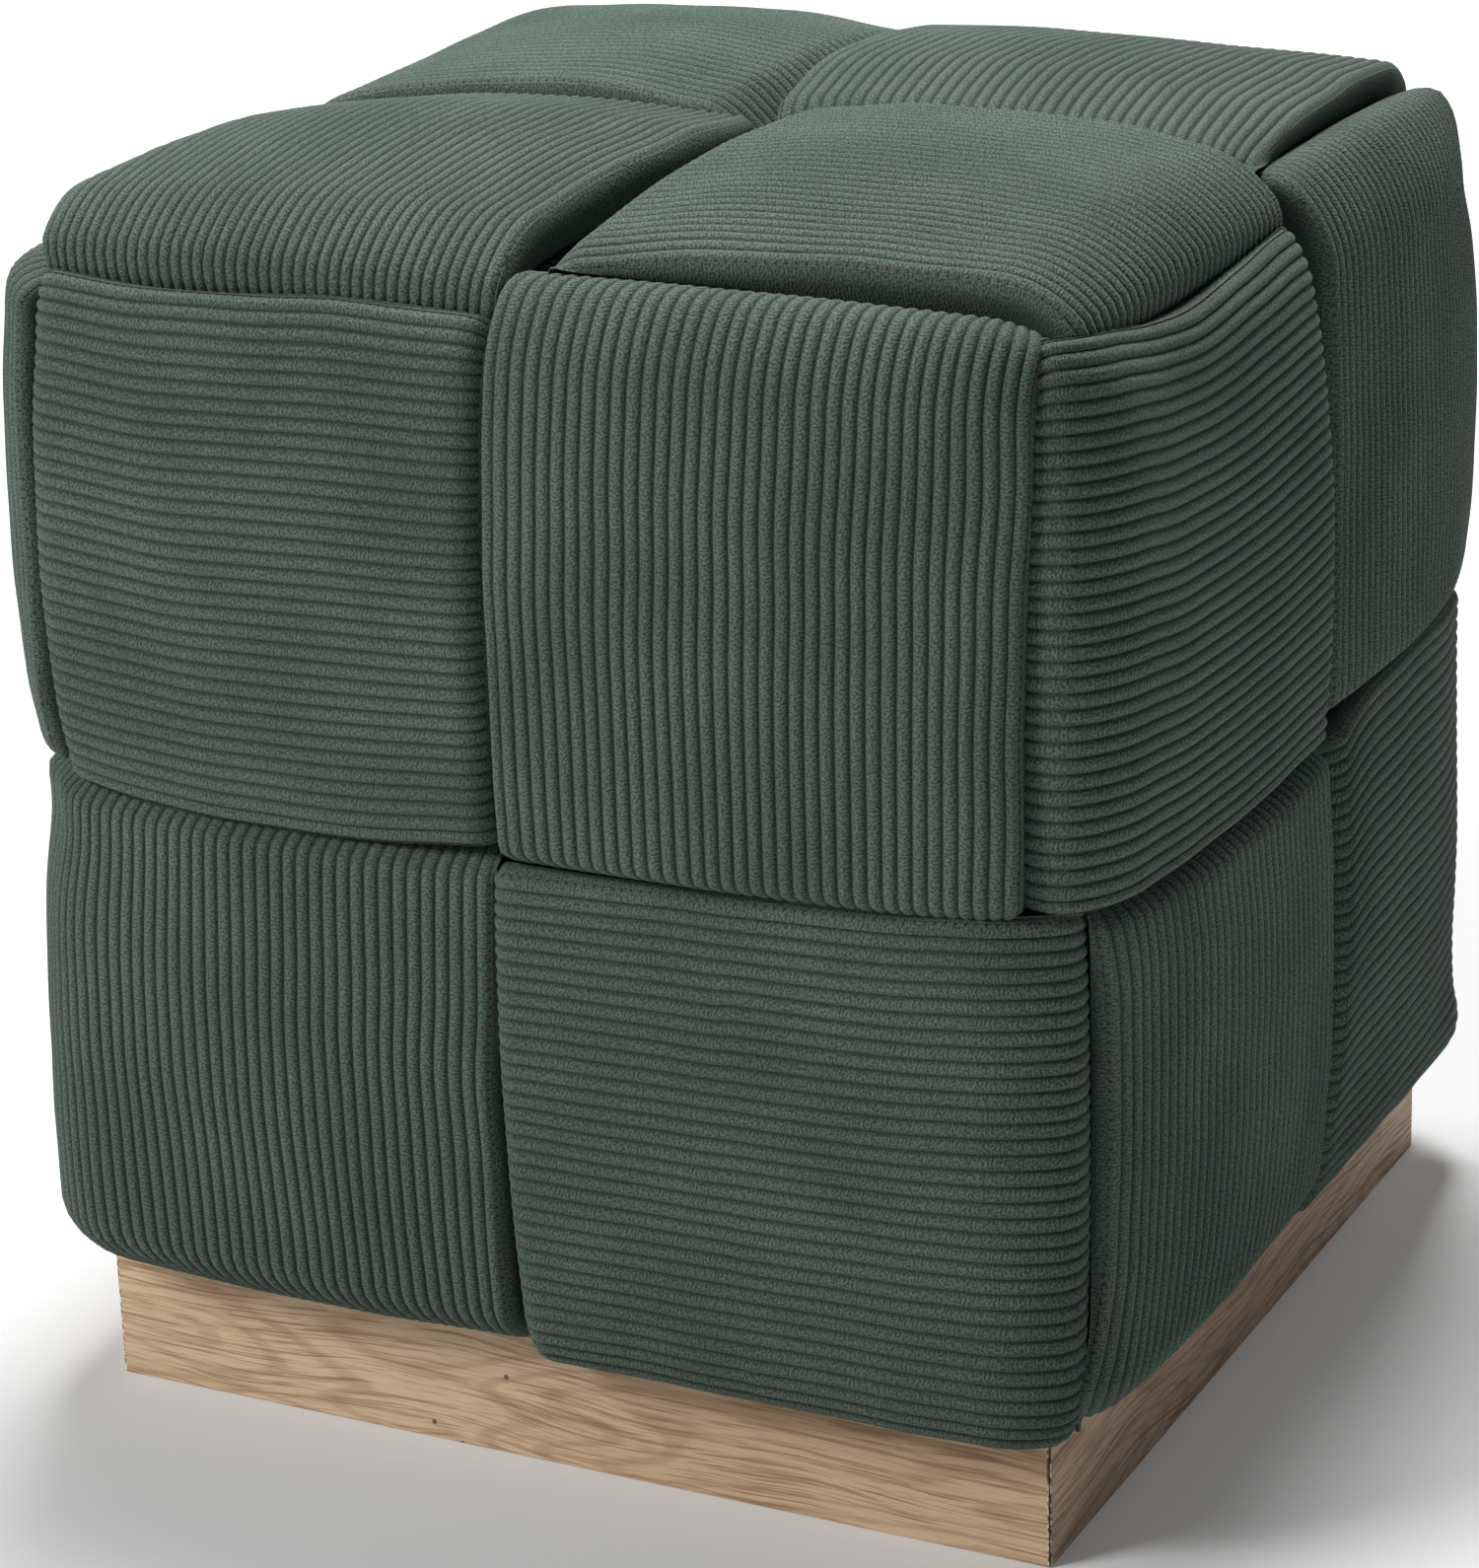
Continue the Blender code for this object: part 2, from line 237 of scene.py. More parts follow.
# ---- what lies across a band ----
def hem_columns():
    """Distance, depth, darkening and seam of the columns of one hem, from the edge inwards: the
    smooth roll, whose lower part gets painted shade, the stitching, and the plain rib behind
    it, which sags and darkens in its last third."""
    rows = [(HEM_ROLL * share, 0.0, shade, 0.0) for share, shade in ROLL_PAINTED_SHADES]
    rows += [(HEM_ROLL - SEAM_HALF, 0.0, 0.0, 0.0), (HEM_ROLL, SEAM_DEPTH, 0.1, 1.0),
             (HEM_ROLL + SEAM_HALF, 0.0, 0.0, 0.0)]
    for phase in HEM_PHASES:
        sag = 1 - math.sin(math.pi * (0.5 + phase / 2)) if phase > 0.7 else 0.0
        rows.append((HEM_ROLL + HEM_PLAIN * phase, WALE_DEPTH * 0.5 * sag, 0.3 * sag, 0.0))
    return np.array(rows)


def outer_columns(width, wales, skew):
    """Distances across the band for each row, and depth, darkening, seam and rib place.
    The darkening of the rib valleys is partly painted shade.

    The ribs share the width between the hems, share + skew x share x (1 - share) for the
    rib at that share. A rib's height is a half sine to a power.
    """
    hem = hem_columns()
    margin = HEM_ROLL + HEM_PLAIN
    ribs = np.arange(wales)[:, None] + WALE_PHASES
    ribs = np.append(ribs.ravel(), wales)
    phase = ribs % 1.0
    height = np.sin(math.pi * phase) ** WALE_ROUND
    share = ribs / wales
    rib_rows = margin + (width[:, None] - 2 * margin) * (share + skew * share * (1 - share))
    distance = np.hstack([np.tile(hem[:, 0], (len(width), 1)), rib_rows,
                          width[:, None] - hem[::-1, 0]])
    depth = np.concatenate([hem[:, 1], WALE_DEPTH * (1 - height), hem[::-1, 1]])
    valley_and_painted_shade = np.concatenate([hem[:, 2], 1 - height, hem[::-1, 2]])
    seam = np.concatenate([hem[:, 3], np.zeros(len(ribs)), hem[::-1, 3]])
    no_crest = np.zeros(len(hem))
    crest = np.concatenate([no_crest, (phase - 0.5) * (phase > 0), no_crest])
    return distance, depth, valley_and_painted_shade, seam, crest


def place_rows(total, walk, dives, first, closed):
    """Places of the rows: close together where the band shows or bends, far apart under
    another band. The rows are evenly spaced in the integral of one over the step."""
    fine = np.linspace(0, total, 6000)
    level = level_at(fine, dives, first)
    turning = np.zeros(len(fine), bool)
    for begin, length, _, _, turns in walk:
        if turns:
            turning |= (fine > begin - TURN_MARGIN) & (fine < begin + length + TURN_MARGIN)
    shown = level > -0.9
    step = np.where(shown, STEP_SHOWN, STEP_COVERED)
    step = np.where(turning, np.where(shown, STEP_TURN, STEP_COVERED_TURN), step)
    step = np.where(np.abs(level) < 0.97, np.minimum(step, STEP_DIVE), step)
    count = np.concatenate([[0], np.cumsum(np.diff(fine) / step[1:])])
    rows = int(math.ceil(count[-1]))
    places = np.interp(np.linspace(0, count[-1], rows + 1), count, fine)
    return places[:-1] if closed else places


def wander(s, across, seed):
    """Sum of three slanting sine waves, between -1 and 1: the small unevenness of cloth."""
    return (np.sin(s * 97 + across * 41 + seed) + np.sin(s * 53 - across * 118 + 2.3 * seed)
            + np.sin(s * 171 + across * 23 + 0.7 * seed)) / 3


def puff(points):
    """Swells the sides and the top of the body like a filled cube.

    A point moves away from the middle plane in proportion to its distance from that
    plane, times one less a power of its share of the half width, in both other ways.
    """
    x, y, z = np.moveaxis(points, -1, 0)
    fall_x, fall_y, fall_z = (1 - np.clip(np.abs(t), 0, 1) ** PUFF_POWER for t in
                              (x / PUFF_SPAN, y / PUFF_SPAN, (z - PUFF_MIDDLE) / PUFF_RISE))
    upper = np.clip((z - PUFF_MIDDLE) / (WEAVE_TOP - PUFF_MIDDLE), 0, None)
    return np.stack([x + PUFF_SIDE * x / WEAVE_HALF * fall_y * fall_z,
                     y + PUFF_SIDE * y / WEAVE_HALF * fall_x * fall_z,
                     z + PUFF_TOP * upper * fall_x * fall_y], axis=-1)


def slack(points):
    """Draws in the edges of the body that are less filled: the upright edge at the front
    left and the one at the back right move inwards, and the top's back edge and left edge
    sink.

    Each move is a smooth function of the place along the edge, times how near the point is
    to the edge: the product of its shares of the half width in both ways, to a power.
    """
    x, y, z = np.moveaxis(points, -1, 0)
    share_x, share_y, height = x / PUFF_SPAN, y / PUFF_SPAN, (z - PUFF_MIDDLE) / PUFF_RISE

    def near(first, second):
        return (np.clip(first, 0, 1) * np.clip(second, 0, 1)) ** SLACK_POWER

    pull = (near(-share_x, -share_y) * knots(*SLACK_FRONT_LEFT)(z)
            + near(share_x, share_y) * knots(*SLACK_BACK_RIGHT)(z))
    drop = (near(share_y, height) * knots(*SINK_BACK)(x)
            + near(-share_x, height) * knots(*SINK_LEFT)(y))
    return np.stack([x * (1 - pull), y * (1 - pull), z - drop], axis=-1)


def band_grid(band):
    """The ring of points of every row: outer face edge to edge, then inner face back.

    Height of the outer face = middle + half thickness x fullness + crown - rib depth -
    slope. Height of the inner face = middle - half thickness x fullness. Near an edge both
    are lifted onto the neighbour that dives under it. Points beyond the flat part of the
    body turn about its edge: side = radius + height times the sine of the angle, rise = the
    same times the cosine, less the radius.
    """
    s = band["rows"]
    level = level_at(s, band["dives"], band["first"])
    tucked = band["tucked"](s)
    covered = (1 - level) / 2
    middle = LEVEL * level * (1 - tucked) - TUCK_THICK / 2 * tucked
    half = BAND_THICK / 2 * (1 - tucked) + TUCK_THICK / 2 * tucked
    wrap = (band["low"](s) - DRAW_IN * covered) * (1 - tucked) - TUCK_DRAW_IN * covered * tucked
    width = wrap + band["flat_width"] + band["high"](s) - DRAW_IN * covered
    turned = np.maximum(wrap, 0)[:, None]
    cloth, depth, valley_and_painted_shade, seam, crest = outer_columns(
        width + (STRETCH - 1) * turned[:, 0], *band["wales"])
    distance = np.where(cloth < STRETCH * turned, cloth / STRETCH, cloth - (STRETCH - 1) * turned)
    cloth_width = cloth[:, -1:]
    s_grid = s[:, None]
    uneven = wander(s_grid, distance, band["seed"])
    spread = 1 - (2 * distance / width[:, None] - 1) ** 2
    crown = CROWN * np.clip(level, 0, 1)[:, None] * (1 - tucked)[:, None] * spread
    full = fullness(cloth, cloth_width, band["rounds"])
    outer_h = middle[:, None] + half[:, None] * full + crown - depth * (0.3 + 0.7 * full)
    outer_h += (UNEVEN * uneven - band["slope"](s)[:, None]) * full
    shift = UNEVEN_ALONG * wander(s_grid * 0.7, distance, band["seed"] + 5) * full
    inner = width[:, None] * INNER_SHARES
    inner_cloth = inner + (STRETCH - 1) * np.minimum(inner, turned)
    inner_full = fullness(inner_cloth, cloth_width, band["rounds"])
    inner_h = middle[:, None] - half[:, None] * inner_full
    over = smooth(1.6 * level * (1 - tucked))[:, None]
    for across, face, thin in ((distance, outer_h, REST_THIN * full), (inner, inner_h, 0.0)):
        for away, late in ((across, band["low_rest"](s)),
                           (width[:, None] - across, band["high_rest"](s))):
            top = neighbour_top(away, late[:, None]) + thin
            face += over * np.maximum(0, top - face)
    all_distance = np.hstack([distance, inner])
    heights = np.hstack([outer_h, inner_h])
    a = band["across"](all_distance - wrap[:, None] + np.hstack([shift, np.zeros_like(inner)]))
    flat = np.clip(a, *band["flat"])
    turn = (a - flat) / RADIUS
    side = flat + (RADIUS + heights) * np.sin(turn)
    rise = (RADIUS + heights) * np.cos(turn) - RADIUS
    point, outward = place_on_walk(band["walk"], s)
    plane = point[:, None, :] + rise[..., None] * outward[:, None, :]
    grid = puff(band["in_space"](side, plane))
    plain = np.zeros(len(INNER_SHARES))
    # the inner face of a band gets painted shade
    facts = {"valley_and_painted_shade": np.append(valley_and_painted_shade, plain + UNDERSIDE_PAINTED_SHADE), "seam": np.append(seam, plain),
             "crest": np.append(crest, plain)}
    return grid, facts


def add_band(name, band, quarter_turns, material):
    """Turns the grid of a band into a closed mesh with a UV map in metres: u runs round the
    ring of each row, v along the band. A closed belt changes turn at a covered row."""
    grid, facts = band_grid(band)
    rows, columns = grid.shape[:2]
    ring = np.concatenate([grid, grid[:, :1]], axis=1)
    around = np.cumsum(np.linalg.norm(np.diff(ring, axis=1, prepend=ring[:, :1]), axis=2), axis=1)
    closing = np.concatenate([grid, grid[:1]])
    along = np.linalg.norm(np.diff(closing, axis=0, prepend=grid[:1]), axis=2)[:, :columns // 2]
    along = np.cumsum(along.mean(axis=1))
    if band["closed"]:
        hidden = np.append(band["rows"], band["total"]) > band["hidden_from"]
        along = along - along[-1] * hidden
    turn = quarter_turns * math.pi / 2
    x = grid[..., 0] * math.cos(turn) - grid[..., 1] * math.sin(turn)
    y = grid[..., 0] * math.sin(turn) + grid[..., 1] * math.cos(turn)
    points = slack(np.stack([x, y, grid[..., 2]], axis=-1)).reshape(-1, 3)
    i, j = np.meshgrid(np.arange(rows if band["closed"] else rows - 1), np.arange(columns),
                       indexing="ij")
    i, j = i.ravel(), j.ravel()
    corner_rows = np.stack([i, i, i + 1, i + 1], axis=1)
    corner_columns = np.stack([j, j + 1, j + 1, j], axis=1)
    corners = (corner_rows % rows) * columns + corner_columns % columns
    a, b, c = points[corners[:, 0]], points[corners[:, 1]], points[corners[:, 2]]
    volume = np.einsum("ij,ij->i", a, np.cross(b, c)).sum()
    uv = np.stack([around[corner_rows % rows, corner_columns], along[corner_rows]], axis=-1)
    if volume < 0:
        corners = corners[:, ::-1]
        uv = uv[:, ::-1]
    mesh = bpy.data.meshes.new(name)
    loops = corners.ravel()
    uv = uv.reshape(-1, 2)
    starts = np.arange(0, len(loops), 4)
    totals = np.full(len(starts), 4)
    if not band["closed"]:
        for row, flip in ((0, False), (rows - 1, True)):
            cap = row * columns + np.arange(columns)
            if flip != (volume < 0):
                cap = cap[::-1]
            starts = np.append(starts, len(loops))
            totals = np.append(totals, columns)
            loops = np.concatenate([loops, cap])
            uv = np.vstack([uv, np.zeros((columns, 2))])
    mesh.vertices.add(len(points))
    mesh.vertices.foreach_set("co", points.ravel().astype(np.float32))
    mesh.loops.add(len(loops))
    mesh.loops.foreach_set("vertex_index", loops.astype(np.int32))
    mesh.polygons.add(len(starts))
    mesh.polygons.foreach_set("loop_start", starts.astype(np.int32))
    mesh.update(calc_edges=True)
    mesh.polygons.foreach_set("use_smooth", np.ones(len(starts), bool))
    mesh.uv_layers.new(name="cloth").data.foreach_set("uv", uv.ravel().astype(np.float32))
    for fact, values in facts.items():
        layer = mesh.attributes.new(fact, "FLOAT", "POINT")
        layer.data.foreach_set("value", np.tile(values, rows).astype(np.float32))
    mesh.validate()
    mesh.materials.append(material)
    obj = bpy.data.objects.new(name, mesh)
    bpy.context.scene.collection.objects.link(obj)
    return obj


def top_band(low, high, lates, wales, seed):
    """A band that rises from the underside, crosses the top and goes down the far side."""
    rise = FLAT_HIGH - FLAT_LOW
    walk = make_walk((-(FLAT_HALF - TUCK_LENGTH), WEAVE_BOTTOM),
                     [TUCK_LENGTH, rise, 2 * FLAT_HALF, rise, TUCK_LENGTH])
    total = walk[-1][0] + walk[-1][1]
    front_middle = walk[2][0] + BELT_SPLIT - FLAT_LOW
    crossings = [front_middle, walk[3][0] + QUARTER_TURN / 2, total / 2,
                 walk[5][0] + QUARTER_TURN / 2, total - front_middle]
    sides = (DIVE_HALF, DIVE_HALF, LONG_DIVE, DIVE_HALF, DIVE_HALF)
    dives = list(zip(crossings, lates, sides))

    def tucked(s):
        turned = (np.minimum(s, total - s) - TUCK_LENGTH) / QUARTER_TURN
        return 1 - smooth((turned - TUCK_HOLD) / (1 - TUCK_HOLD))

    def slope(s):
        ahead = crossings[2] + lates[2] - s
        away = np.where(ahead > 0, ahead / SLOPE_LENGTH, -ahead / DIVE_HALF)
        return SLOPE_DEPTH * smooth(1 - away)

    return {
        "walk": walk, "total": total, "dives": dives, "first": 1, "closed": False,
        "tucked": tucked, "slope": slope, "low": low, "high": high, "seed": seed,
        "rows": place_rows(total, walk, dives, 1, False), "flat_width": FLAT_HALF,
        "rounds": (EDGE_ROUND, EDGE_ROUND), "wales": wales, "crossings": crossings,
        "lates": lates,
        "flat": (-FLAT_HALF, FLAT_HALF), "across": lambda inward: inward - FLAT_HALF,
        "in_space": lambda side, plane: np.stack([side, plane[..., 0], plane[..., 1]], axis=-1),
    }


def belt(upper, low, high, lates, wales, seed):
    """A closed belt. It sets out clockwise as seen from above, from the middle of the front
    to the left side, the back and the right side."""
    walk = make_walk((FLAT_HALF / 2, -WEAVE_HALF),
                     [1.5 * FLAT_HALF, 2 * FLAT_HALF, 2 * FLAT_HALF, 2 * FLAT_HALF,
                      FLAT_HALF / 2])
    total = walk[-1][0] + walk[-1][1]
    spacing = FLAT_HALF + QUARTER_TURN / 2
    first = -1 if upper else 1
    crossings = [FLAT_HALF / 2 + n * spacing for n in range(len(lates))]
    dives = [(crossing, late, DIVE_HALF) for crossing, late in zip(crossings, lates)]
    flat_width = FLAT_HIGH - BELT_SPLIT if upper else BELT_SPLIT - FLAT_LOW
    return {
        "walk": walk, "total": total, "dives": dives, "first": first, "closed": True,
        "tucked": constant(0), "slope": constant(0), "low": low, "high": high, "seed": seed,
        "rows": place_rows(total, walk, dives, first, True), "flat_width": flat_width,
        "rounds": (EDGE_ROUND if upper else FOOT_ROUND, EDGE_ROUND), "wales": wales,
        "crossings": crossings, "lates": lates,
        "hidden_from": FLAT_HALF / 2 + spacing * (1.5 if upper else 0.5),
        "flat": (FLAT_LOW, FLAT_HIGH),
        "across": lambda inward: FLAT_HIGH - inward if upper else FLAT_LOW + inward,
        "in_space": lambda side, plane: np.stack([plane[..., 0], plane[..., 1], side], axis=-1),
    }


def rest_on(edge, wrap, starts, lates):
    """Where the neighbour under an edge dives, measured from that edge inwards: its own
    place past the crossing plus the way of the edge beyond the crossing."""
    def value(s):
        late = edge(s) - wrap + np.array(lates)[np.searchsorted(starts, s, "right")]
        return np.minimum(late, REST_MOST)
    return value


def add_rests(tops, upper, lower):
    """Gives every edge the dives it rests on. Each band over the top starts on the face
    of its own number, and each face repeats the weave of the one before."""
    wrap = QUARTER_TURN / 2
    for k, band in enumerate(tops):
        c = band["crossings"]
        starts = [(c[0] + c[1]) / 2, (c[2] + c[3]) / 2]
        across = tops[(k + 1) % 4]["lates"]
        band["low_rest"] = rest_on(band["low"], wrap, starts, [
            lower["lates"][(1 - 2 * k) % 8], across[3], upper["lates"][(3 - 2 * k) % 8]])
        band["high_rest"] = rest_on(band["high"], 0.0, starts, [
            lower["lates"][-2 * k % 8], across[2], upper["lates"][(4 - 2 * k) % 8]])
    c = upper["crossings"]
    starts = [(c[n] + c[n + 1]) / 2 for n in (1, 3, 5)]
    upper["low_rest"] = rest_on(upper["low"], wrap, starts,
                                [tops[-j % 4]["lates"][1] for j in range(4)])
    upper["high_rest"] = rest_on(upper["high"], 0.0, starts,
                                 [tops[-j % 4]["lates"][0] for j in range(4)])
    starts = [(c[n] + c[n + 1]) / 2 for n in (0, 2, 4, 6)]
    lower["low_rest"] = constant(-TUCK_FREE)        # no band lies under its lower edge
    lower["high_rest"] = rest_on(lower["high"], 0.0, starts,
                                 [tops[(2 - j) % 4]["lates"][4] for j in (0, 1, 2, 3, 0)])


# ---- materials ----
class Nodes:
    """Short way to add and join shader nodes."""

    def __init__(self, name):
        self.material = bpy.data.materials.new(name)
        self.material.use_nodes = True
        self.tree = self.material.node_tree
        self.shader = self.tree.nodes["Principled BSDF"]

    def add(self, kind, inputs=(), **settings):
        node = self.tree.nodes.new("ShaderNode" + kind)
        for key, value in settings.items():
            setattr(node, key, value)
        for key, value in dict(inputs).items():
            self.put(node.inputs[key], value)
        return node

    def put(self, socket, value):
        if isinstance(value, bpy.types.NodeSocket):
            self.tree.links.new(value, socket)
        else:
            socket.default_value = value

    def math(self, operation, first, second=0.0):
        return self.add("Math", {0: first, 1: second}, operation=operation).outputs[0]

    def mix(self, share, first, second, blend="MIX"):
        node = self.add("Mix", data_type="RGBA", blend_type=blend)
        self.put(node.inputs[0], share)
        self.put(node.inputs[6], first)
        self.put(node.inputs[7], second)
        return node.outputs[2]

    def ramp(self, value, low, high, low_out=0.0, high_out=1.0):
        node = self.add("MapRange", {0: value, 1: low, 2: high, 3: low_out, 4: high_out},
                        interpolation_type="SMOOTHSTEP")
        return node.outputs[0]

    def noise(self, vector, scale, detail=2.0, roughness=0.5):
        node = self.add("TexNoise", {"Vector": vector, "Scale": scale, "Detail": detail,
                                     "Roughness": roughness})
        return node.outputs[0]


def colour(hex_code):
    """Linear colour of an sRGB hex code."""
    channels = [int(hex_code[i:i + 2], 16) / 255 for i in (0, 2, 4)]
    linear = [c / 12.92 if c <= 0.04045 else ((c + 0.055) / 1.055) ** 2.4 for c in channels]
    return tuple(linear) + (1.0,)


def corduroy(name):
    """Ribs of cut pile. The tufts stand in slanting rows to both sides of each crest, which
    is a noise plus a sine along the band. The rib valleys are darker, partly the brownish base
    cloth that shows there and partly painted shade. The lower part of each hem roll and the
    inner face of a band are darkened with painted shade, and the seams have dashes of thread."""
    n = Nodes(name)
    uv = n.add("UVMap", uv_map="cloth").outputs[0]
    valley_and_painted_shade = n.add("Attribute", attribute_name="valley_and_painted_shade").outputs["Fac"]
    seam = n.add("Attribute", attribute_name="seam").outputs["Fac"]
    crest = n.add("Attribute", attribute_name="crest").outputs["Fac"]
    split = n.add("SeparateXYZ", {0: uv})
    slant = n.math("MULTIPLY", n.math("ABSOLUTE", crest), TUFT_SLANT)
    along = n.math("ADD", split.outputs[1], slant)
    tuft_place = n.add("CombineXYZ", {0: n.math("MULTIPLY", split.outputs[0], TUFTS_ACROSS),
                                      1: n.math("MULTIPLY", along, TUFTS_ALONG)}).outputs[0]
    tufts = n.noise(tuft_place, 1.0, 1.0, 0.5)
    wobble = n.math("MULTIPLY", n.noise(uv, 260.0, 1.0), 1.1)
    turns = n.math("ADD", n.math("MULTIPLY", along, TUFT_ROWS), wobble)
    rows = n.math("SINE", n.math("MULTIPLY", turns, 6.2832))
    cloudy = n.noise(uv, 14.0, 3.0, 0.55)
    grain = n.math("ADD", tufts, n.math("MULTIPLY", rows, 0.045))
    base = n.mix(n.ramp(cloudy, 0.3, 0.7), colour("46554d"), colour("515f57"))
    between_tufts = n.mix(1.0, base, (0.58, 0.58, 0.58, 1), "MULTIPLY")
    tuft_tips = n.mix(1.0, base, (1.44, 1.43, 1.39, 1), "MULTIPLY")
    base = n.mix(n.ramp(grain, 0.36, 0.64), between_tufts, tuft_tips)
    # darkens towards a dark green: painted shade on the lower part of each hem roll and on the
    # inner face, and in the rib valleys partly painted shade, partly the real base cloth
    base = n.mix(n.ramp(valley_and_painted_shade, 0.04, 0.75, 0.0, 0.60), base, colour("2b342d"))
    stitch = n.math("FRACT", n.math("MULTIPLY", split.outputs[1], STITCHES))
    dashes = n.ramp(stitch, 0.25, 0.4)
    thread = n.mix(dashes, colour("20241f"), colour("5a5a50"))
    base = n.mix(n.math("MULTIPLY", seam, 0.8), base, thread)
    n.put(n.shader.inputs["Base Color"], base)
    n.shader.inputs["Roughness"].default_value = 0.92
    n.shader.inputs["Specular IOR Level"].default_value = 0.12
    n.shader.inputs["Sheen Weight"].default_value = 0.18
    n.shader.inputs["Sheen Roughness"].default_value = 0.45
    n.shader.inputs["Sheen Tint"].default_value = colour("b4c2ba")
    bump = n.add("Bump", {"Strength": 0.8, "Distance": 0.0008, "Height": grain})
    n.put(n.shader.inputs["Normal"], bump.outputs[0])
    return n.material


def oak(name, quarter_turns, light, dark, vein, seed):
    """Oak with its grain along the board: thin wavy lines, which are a noise stretched along
    the board and shifted by a broad one, over the contour lines of a wide noise. The mitred
    ends get flakes of light and dark, the dark ones specks of filler."""
    n = Nodes(name)
    place = n.add("TexCoord").outputs["Object"]
    turn = (0, 0, -quarter_turns * math.pi / 2)
    board = n.add("Mapping", {"Vector": place, "Rotation": turn}).outputs[0]
    turned = n.add("Mapping", {"Vector": place, "Rotation": turn,
                               "Location": (seed, 0, 0)}).outputs[0]

    def stretched(along, across):
        return n.add("Mapping", {"Vector": turned, "Scale": (along, along, across)}).outputs[0]

    warp = n.noise(stretched(9.0, 22.0), 1.0, 1.5, 0.5)
    split = n.add("SeparateXYZ", {0: turned})
    across = n.math("ADD", split.outputs[2], n.math("MULTIPLY", warp, OAK_WAVE))
    line_place = n.add("CombineXYZ", {
        0: n.math("MULTIPLY", split.outputs[0], OAK_LENGTHWISE),
        1: n.math("MULTIPLY", split.outputs[1], OAK_LENGTHWISE),
        2: n.math("MULTIPLY", across, OAK_LINES)}).outputs[0]
    lines = n.noise(line_place, 1.0, 2.0, 0.6)
    rings = n.math("SINE", n.math("MULTIPLY", n.noise(stretched(5.0, 30.0), 1.0, 1.0, 0.4), 88.0))
    patch = n.noise(stretched(4.0, 12.0), 1.0)
    fibre = n.noise(stretched(70.0, 1500.0), 1.0, 2.0, 0.6)
    base = n.mix(n.ramp(patch, 0.3, 0.7), colour(light), colour(dark))
    base = n.mix(n.ramp(rings, 0.1, 1.0, 0.0, 0.32), base, colour(vein))
    base = n.mix(n.ramp(lines, 0.48, 0.66, 0.0, 0.75), base, colour(vein))
    base = n.mix(n.ramp(fibre, 0.5, 0.72, 0.0, 0.45), base, colour(vein))
    from_middle = n.math("ABSOLUTE", n.add("SeparateXYZ", {0: board}).outputs[0])
    mitre_flakes = n.ramp(from_middle, MITRE_FLAKES_FROM, MITRE_FLAKES_TO, 0.0, 0.85)
    flakes = n.ramp(n.noise(board, 650.0, 1.0), 0.45, 0.55)
    base = n.mix(mitre_flakes, base, n.mix(flakes, colour("4a3728"), colour("e8dfcf")))
    holes = n.add("TexVoronoi", {"Vector": turned, "Scale": 48.0}, voronoi_dimensions="3D")
    pin = n.ramp(holes.outputs["Distance"], 0.03, 0.06, 1.0, 0.0)
    base = n.mix(n.math("MULTIPLY", pin, 0.8), base, colour("2a1d14"))
    n.put(n.shader.inputs["Base Color"], base)
    n.shader.inputs["Roughness"].default_value = 0.62
    n.shader.inputs["Specular IOR Level"].default_value = 0.3
    bump = n.add("Bump", {"Strength": 0.25, "Distance": 0.0004, "Height": fibre})
    n.put(n.shader.inputs["Normal"], bump.outputs[0])
    return n.material


def birch(name):
    """Plywood of birch: a noise stretched along the board between two pale browns."""
    n = Nodes(name)
    place = n.add("TexCoord").outputs["Object"]
    fine = n.add("Mapping", {"Vector": place, "Scale": (8.0, 90.0, 90.0)}).outputs[0]
    grain = n.noise(fine, 1.0)
    n.put(n.shader.inputs["Base Color"], n.mix(grain, colour("c9ab7e"), colour("b08f62")))
    n.shader.inputs["Roughness"].default_value = 0.7
    return n.material


